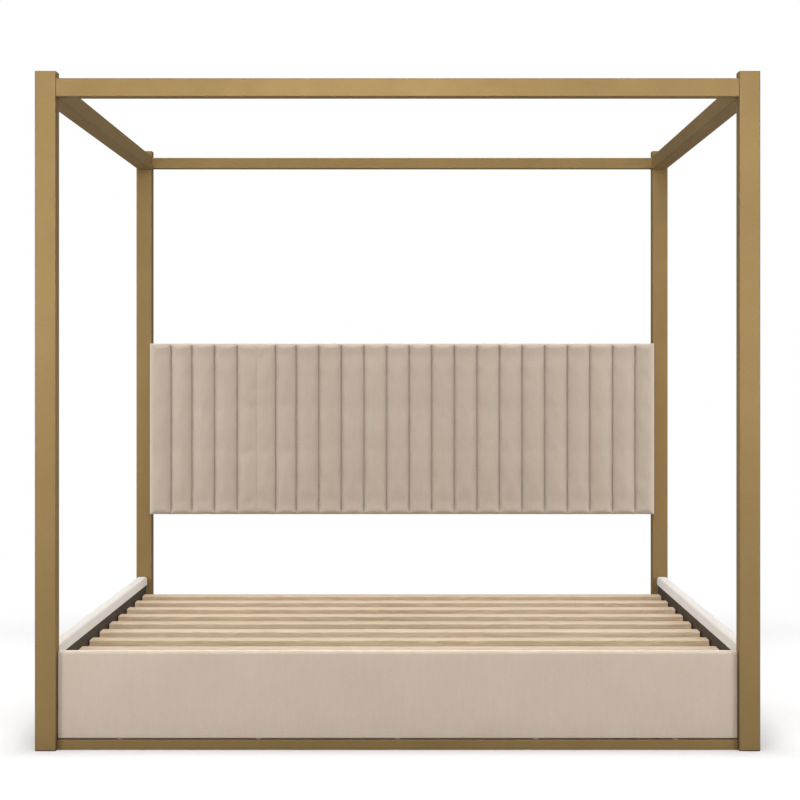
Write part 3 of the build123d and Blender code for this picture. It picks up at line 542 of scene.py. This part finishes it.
class Nodes:
    """Small helper that builds a node material."""

    def __init__(self, name):
        self.material = bpy.data.materials.new(name)
        self.material.use_nodes = True
        self.tree = self.material.node_tree
        self.shader = self.tree.nodes["Principled BSDF"]
        self.position = self.tree.nodes.new("ShaderNodeTexCoord").outputs["Object"]

    def node(self, kind, **values):
        """A node with its inputs set by name."""
        node = self.tree.nodes.new(kind)
        for key, value in values.items():
            key = key.replace("_", " ")
            if isinstance(value, bpy.types.NodeSocket):
                self.tree.links.new(value, node.inputs[key])
            else:
                node.inputs[key].default_value = value
        return node

    def stretched(self, scale):
        """The position, scaled along each axis."""
        mapping = self.node("ShaderNodeMapping", Vector=self.position)
        mapping.inputs["Scale"].default_value = scale
        return mapping.outputs["Vector"]

    def noise(self, scale, detail=3.0, roughness=0.5, vector=None, distortion=0.0):
        """Noise value between 0 and 1."""
        node = self.node("ShaderNodeTexNoise", Vector=vector or self.position, Scale=scale,
                         Detail=detail, Roughness=roughness, Distortion=distortion)
        return node.outputs["Fac"]

    def ramp(self, value, *stops):
        """Colour ramp with (place, colour) stops."""
        node = self.node("ShaderNodeValToRGB", Fac=value)
        elements = node.color_ramp.elements
        while len(elements) < len(stops):
            elements.new(0.5)
        for element, (place, colour) in zip(elements, stops):
            element.position = place
            element.color = (*colour, 1.0)
        return node.outputs["Color"]

    def mix(self, factor, first, second, mode="MIX"):
        """Mix of two colours."""
        node = self.tree.nodes.new("ShaderNodeMix")
        node.data_type = "RGBA"
        node.blend_type = mode
        for socket, value in ((0, factor), (6, first), (7, second)):
            if isinstance(value, bpy.types.NodeSocket):
                self.tree.links.new(value, node.inputs[socket])
            else:
                node.inputs[socket].default_value = value if socket == 0 else (*value, 1.0)
        return node.outputs[2]

    def maths(self, operation, first, second=0.0):
        """One arithmetic step on values."""
        node = self.tree.nodes.new("ShaderNodeMath")
        node.operation = operation
        for socket, value in enumerate((first, second)):
            if isinstance(value, bpy.types.NodeSocket):
                self.tree.links.new(value, node.inputs[socket])
            else:
                node.inputs[socket].default_value = value
        return node.outputs[0]

    def remap(self, value, low, high):
        """A 0 to 1 value spread between low and high."""
        node = self.node("ShaderNodeMapRange", Value=value)
        node.inputs["To Min"].default_value = low
        node.inputs["To Max"].default_value = high
        return node.outputs["Result"]

    def colour(self, socket):
        """Base colour from a node."""
        self.tree.links.new(socket, self.shader.inputs["Base Color"])

    def roughness(self, socket):
        """Roughness from a node."""
        self.tree.links.new(socket, self.shader.inputs["Roughness"])

    def bump(self, height, distance, strength=1.0, below=None):
        """Bump from a height, laid over another bump if given."""
        node = self.node("ShaderNodeBump", Height=height, Strength=strength, Distance=distance)
        if below:
            self.tree.links.new(below, node.inputs["Normal"])
        self.tree.links.new(node.outputs["Normal"], self.shader.inputs["Normal"])
        return node.outputs["Normal"]

    def constant(self, **values):
        """Values that are the same all over, set on the shader."""
        for key, value in values.items():
            self.shader.inputs[key.replace("_", " ")].default_value = value


def gold_metal():
    """Satin champagne-gold coat with a faint orange-peel surface."""
    n = Nodes("gold_metal")
    n.constant(Metallic=1.0)
    cloud = n.noise(2.4, 4, 0.6)
    base = n.ramp(cloud, (0.35, (0.300, 0.203, 0.086)), (0.65, (0.330, 0.226, 0.098)))
    speck = n.ramp(n.noise(900, 2, 0.6), (0.42, (0.93, 0.93, 0.93)), (0.6, (1.04, 1.04, 1.04)))
    n.colour(n.mix(1.0, base, speck, "MULTIPLY"))
    n.roughness(n.remap(n.noise(14, 4, 0.6), 0.56, 0.66))
    n.bump(n.noise(420, 2, 0.5), 0.0002, 0.25)
    return n.material


def velvet():
    """Beige upholstery velvet with a short, soft nap: fine weave, cloudy tone, and a painted sheen
    that turns the colour pale at its edges.
    """
    n = Nodes("velvet")
    n.constant(Sheen_Weight=0.8, Sheen_Roughness=0.25, Sheen_Tint=(0.96, 0.98, 1.0, 1.0),
               Specular_IOR_Level=0.15)
    cloud = n.noise(5.5, 5, 0.55)
    base = n.ramp(cloud, (0.30, (0.490, 0.405, 0.330)), (0.70, (0.550, 0.462, 0.382)))
    streak = n.noise(60, 4, 0.6, n.stretched((1.6, 1.6, 0.35)))
    streaks = n.ramp(streak, (0.3, (0.50, 0.415, 0.34)), (0.7, (0.545, 0.457, 0.376)))
    base = n.mix(0.5, base, streaks)
    thread = n.noise(1500, 2, 0.7)
    fine = n.ramp(thread, (0.35, (0.86, 0.86, 0.86)), (0.65, (1.08, 1.08, 1.08)))
    base = n.mix(1.0, base, fine, "MULTIPLY")
    # Painted sheen: where the surface is seen edge-on, the base colour is mixed towards pale cream,
    # standing in for light on tops and rims.
    facing = n.tree.nodes.new("ShaderNodeLayerWeight").outputs["Facing"]
    painted_sheen = n.maths("MULTIPLY", n.maths("POWER", facing, 2.5), 0.75)
    n.colour(n.mix(painted_sheen, base, (0.80, 0.775, 0.725)))
    n.roughness(n.remap(thread, 0.78, 0.95))
    weave = n.maths("ADD", n.noise(800, 1, 0.5, n.stretched((1, 1, 0.25))),
                    n.noise(800, 1, 0.5, n.stretched((0.25, 0.25, 1))))
    first = n.bump(weave, 0.0005, 0.35)
    n.bump(cloud, 0.003, 0.15, first)
    return n.material


def pine():
    """Planed pine: long grain along X, growth lines and small knots."""
    n = Nodes("pine")
    n.constant(Specular_IOR_Level=0.35)
    board_tone = n.noise(1.0, 0, 0.5, n.stretched((0.02, 4.1, 0.02)))
    base = n.ramp(board_tone, (0.35, (0.66, 0.53, 0.375)), (0.65, (0.73, 0.58, 0.43)))
    knot_place = n.stretched((1.0, 2.6, 2.6))
    knots = n.node("ShaderNodeTexVoronoi", Vector=knot_place, Scale=2.4).outputs["Distance"]
    knot = n.ramp(knots, (0.0, (1, 1, 1)), (0.045, (0, 0, 0)))
    swirl = n.maths("MULTIPLY", knots, 0.5)
    rings = n.noise(2.2, 5, 0.6, n.stretched((1.1, 26.0, 26.0)), distortion=0.6)
    rings = n.maths("ADD", rings, swirl)
    lines = n.maths("FRACT", n.maths("MULTIPLY", rings, 7.0))
    grain = n.ramp(lines, (0.0, (0.80, 0.74, 0.66)), (0.75, (1.0, 1.0, 1.0)),
                   (1.0, (0.86, 0.80, 0.72)))
    wood = n.mix(1.0, base, grain, "MULTIPLY")
    fibre = n.noise(60, 3, 0.6, n.stretched((0.6, 30, 30)))
    fibre = n.ramp(fibre, (0.35, (0.93, 0.92, 0.90)), (0.7, (1.04, 1.04, 1.04)))
    wood = n.mix(1.0, wood, fibre, "MULTIPLY")
    n.colour(n.mix(knot, wood, (0.20, 0.115, 0.055)))
    n.roughness(n.remap(lines, 0.5, 0.68))
    n.bump(lines, 0.0004, 0.2)
    return n.material


def dark_board():
    """Brown board with a grain, its faces painted very dark as shade for the shadow inside the bed
    box.
    """
    n = Nodes("dark_board")
    n.constant(Specular_IOR_Level=0.3)
    grain = n.noise(8, 5, 0.6, n.stretched((1, 1, 14)))
    # Painted shade: the board's colour is set near black-brown to stand in for the shadow on the
    # inner faces of the box.
    n.colour(n.ramp(grain, (0.3, (0.040, 0.029, 0.019)), (0.7, (0.068, 0.050, 0.033))))
    n.roughness(n.remap(n.noise(120, 3), 0.6, 0.8))
    n.bump(grain, 0.0004, 0.3)
    return n.material


def plywood():
    """Raw plywood with a long grain."""
    n = Nodes("plywood")
    grain = n.noise(9, 5, 0.6, n.stretched((1, 12, 14)))
    n.colour(n.ramp(grain, (0.3, (0.40, 0.27, 0.15)), (0.7, (0.56, 0.41, 0.25))))
    n.roughness(n.remap(grain, 0.6, 0.8))
    n.bump(grain, 0.0003, 0.3)
    return n.material


def dark_cloth():
    """Black non-woven dust cloth with a dimpled surface."""
    n = Nodes("dark_cloth")
    n.constant(Sheen_Weight=0.15, Specular_IOR_Level=0.2)
    dimples = n.node("ShaderNodeTexVoronoi", Vector=n.position, Scale=550.0).outputs["Distance"]
    n.colour(n.ramp(dimples, (0.1, (0.020, 0.020, 0.022)), (0.6, (0.045, 0.045, 0.048))))
    n.roughness(n.remap(n.noise(40, 4), 0.8, 0.95))
    n.bump(dimples, 0.0003, 0.5)
    return n.material


def black_steel():
    """Black powder-coated steel."""
    n = Nodes("black_steel")
    n.constant(Specular_IOR_Level=0.5)
    n.colour(n.ramp(n.noise(30, 4), (0.3, (0.018, 0.018, 0.019)), (0.7, (0.034, 0.034, 0.036))))
    n.roughness(n.remap(n.noise(200, 3), 0.38, 0.55))
    n.bump(n.noise(700, 2), 0.0002, 0.3)
    return n.material


def zinc_steel():
    """Bright zinc-plated steel with faint spangle."""
    n = Nodes("zinc_steel")
    n.constant(Metallic=1.0)
    spangle = n.node("ShaderNodeTexVoronoi", Vector=n.position, Scale=160.0).outputs["Color"]
    n.colour(n.mix(0.12, (0.56, 0.57, 0.58), spangle))
    n.roughness(n.remap(n.noise(90, 3), 0.28, 0.42))
    n.bump(n.noise(500, 2), 0.0001, 0.2)
    return n.material


def black_plastic():
    """Moulded black plastic."""
    n = Nodes("black_plastic")
    n.constant(Specular_IOR_Level=0.45)
    n.colour(n.ramp(n.noise(80, 3), (0.3, (0.014, 0.014, 0.014)), (0.7, (0.028, 0.027, 0.026))))
    n.roughness(n.remap(n.noise(300, 3), 0.5, 0.65))
    n.bump(n.noise(1200, 2), 0.0001, 0.4)
    return n.material


def floor_paint():
    """Plain pale floor whose far part is seen as the same white as the surroundings."""
    n = Nodes("floor_paint")
    n.constant(Specular_IOR_Level=0.1)
    seen = n.tree.nodes.new("ShaderNodeLightPath").outputs["Is Camera Ray"]
    pale = n.ramp(n.noise(0.6, 2), (0.3, (0.80, 0.80, 0.80)), (0.7, (0.82, 0.82, 0.82)))
    n.colour(n.mix(seen, (FLOOR_BOUNCE, FLOOR_BOUNCE, FLOOR_BOUNCE), pale))
    n.roughness(n.remap(n.noise(3, 2), 0.85, 0.95))
    distance = n.tree.nodes.new("ShaderNodeVectorMath")
    distance.operation = "LENGTH"
    n.tree.links.new(n.position, distance.inputs[0])
    far = n.node("ShaderNodeMapRange", Value=distance.outputs["Value"])
    far.interpolation_type = "SMOOTHSTEP"
    far.inputs["From Min"].default_value = FLOOR_FADE[0]
    far.inputs["From Max"].default_value = FLOOR_FADE[1]
    white = n.tree.nodes.new("ShaderNodeEmission").outputs["Emission"]
    blend = n.tree.nodes.new("ShaderNodeMixShader")
    n.tree.links.new(n.maths("MULTIPLY", far.outputs["Result"], seen), blend.inputs[0])
    n.tree.links.new(n.shader.outputs["BSDF"], blend.inputs[1])
    n.tree.links.new(white, blend.inputs[2])
    n.tree.links.new(blend.outputs["Shader"], n.tree.nodes["Material Output"].inputs["Surface"])
    return n.material


def finish_piece(piece, material, node):
    """Gives a piece its material, slot and body, and hides the CAD node that it stands for."""
    piece.data.materials.clear()
    piece.data.materials.append(material)
    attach(piece, BODY)
    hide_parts(node)


# ---------- light and camera ----------

def area_light(name, place, target, size, power):
    """Large soft light that faces a target."""
    data = bpy.data.lights.new(name, "AREA")
    data.shape = "RECTANGLE"
    data.size, data.size_y = size
    data.energy = power
    light = bpy.data.objects.new(name, data)
    light.location = place
    light.rotation_euler = (Vector(target) - Vector(place)).to_track_quat("-Z", "Y").to_euler()
    bpy.context.collection.objects.link(light)


def make_lights():
    """The studio's soft lights."""
    for name, setting in MIDDLE_LIGHTS.items():
        area_light(name, *setting)
    for name, (place, target, size, power) in SIDE_LIGHTS.items():
        for side in (-1, 1):
            mirrored = [(side * x, y, z) for x, y, z in (place, target)]
            area_light(f"{name}_{side}", *mirrored, size, power)


def make_world():
    """Soft surroundings, brighter overhead than below, white where they are seen directly."""
    world = bpy.data.worlds.new("studio")
    bpy.context.scene.world = world
    world.use_nodes = True
    tree = world.node_tree
    background = tree.nodes["Background"]
    background.inputs["Color"].default_value = (1.0, 1.0, 1.0, 1.0)
    direction = tree.nodes.new("ShaderNodeTexCoord").outputs["Generated"]
    split = tree.nodes.new("ShaderNodeSeparateXYZ")
    tree.links.new(direction, split.inputs["Vector"])
    height = tree.nodes.new("ShaderNodeMapRange")
    height.inputs["From Min"].default_value = WORLD_HORIZON
    height.inputs["To Min"].default_value = WORLD_LOW
    height.inputs["To Max"].default_value = WORLD_HIGH
    tree.links.new(split.outputs["Z"], height.inputs["Value"])
    path = tree.nodes.new("ShaderNodeLightPath")
    seen = tree.nodes.new("ShaderNodeMix")
    seen.inputs["B"].default_value = 1.0
    tree.links.new(path.outputs["Is Camera Ray"], seen.inputs["Factor"])
    tree.links.new(height.outputs["Result"], seen.inputs["A"])
    tree.links.new(seen.outputs["Result"], background.inputs["Strength"])


def make_camera():
    """Level camera, straight on from the foot end."""
    data = bpy.data.cameras.new("camera")
    data.lens = LENS
    data.shift_x = SHIFT_X
    data.shift_y = SHIFT_Y
    data.clip_end = CAMERA_REACH
    camera = bpy.data.objects.new("camera", data)
    camera.location = (CAMERA_SIDE, cad_low[1] - CAMERA_DISTANCE, CAMERA_HEIGHT)
    camera.rotation_euler = (math.radians(90), 0, 0)
    bpy.context.collection.objects.link(camera)
    bpy.context.scene.camera = camera


def make_floor(material):
    """Wide pale floor under the bed."""
    half = FLOOR_SIZE / 2
    verts = [(-half, -half, 0), (half, -half, 0), (half, half, 0), (-half, half, 0)]
    floor = new_piece("floor", verts, [(0, 1, 2, 3)], smooth=False)
    floor.data.materials.append(material)


# ---------- the scene ----------

bpy.context.scene.view_settings.view_transform = "Standard"
make_camera()
make_world()
make_floor(floor_paint())
make_lights()

finishes = {
    "gold_metal": gold_metal(),
    "beige_fabric": velvet(),
    "pine": pine(),
    "dark_board": dark_board(),
    "plywood": plywood(),
    "dark_cloth": dark_cloth(),
    "black_steel": black_steel(),
    "zinc_steel": zinc_steel(),
    "black_plastic": black_plastic(),
}
for subpart in frame["record"]["subparts"]:
    mesh = frame["nodes"][subpart["node"]].data
    mesh.materials.clear()
    mesh.materials.append(finishes[subpart["material_slot"]])

fabric = finishes["beige_fabric"]
headboard = make_headboard()
finish_piece(headboard, fabric, "headboard_pad")

footboard = make_footboard()
finish_piece(footboard, fabric, "footboard_cover")

for side, sign in (("left", -1), ("right", 1)):
    rail = make_side_rail(side, sign)
    finish_piece(rail, fabric, f"side_rail_{side}_cover")

back_cloth = make_back_cloth()
finish_piece(back_cloth, finishes["dark_cloth"], "headboard_dust_cover")
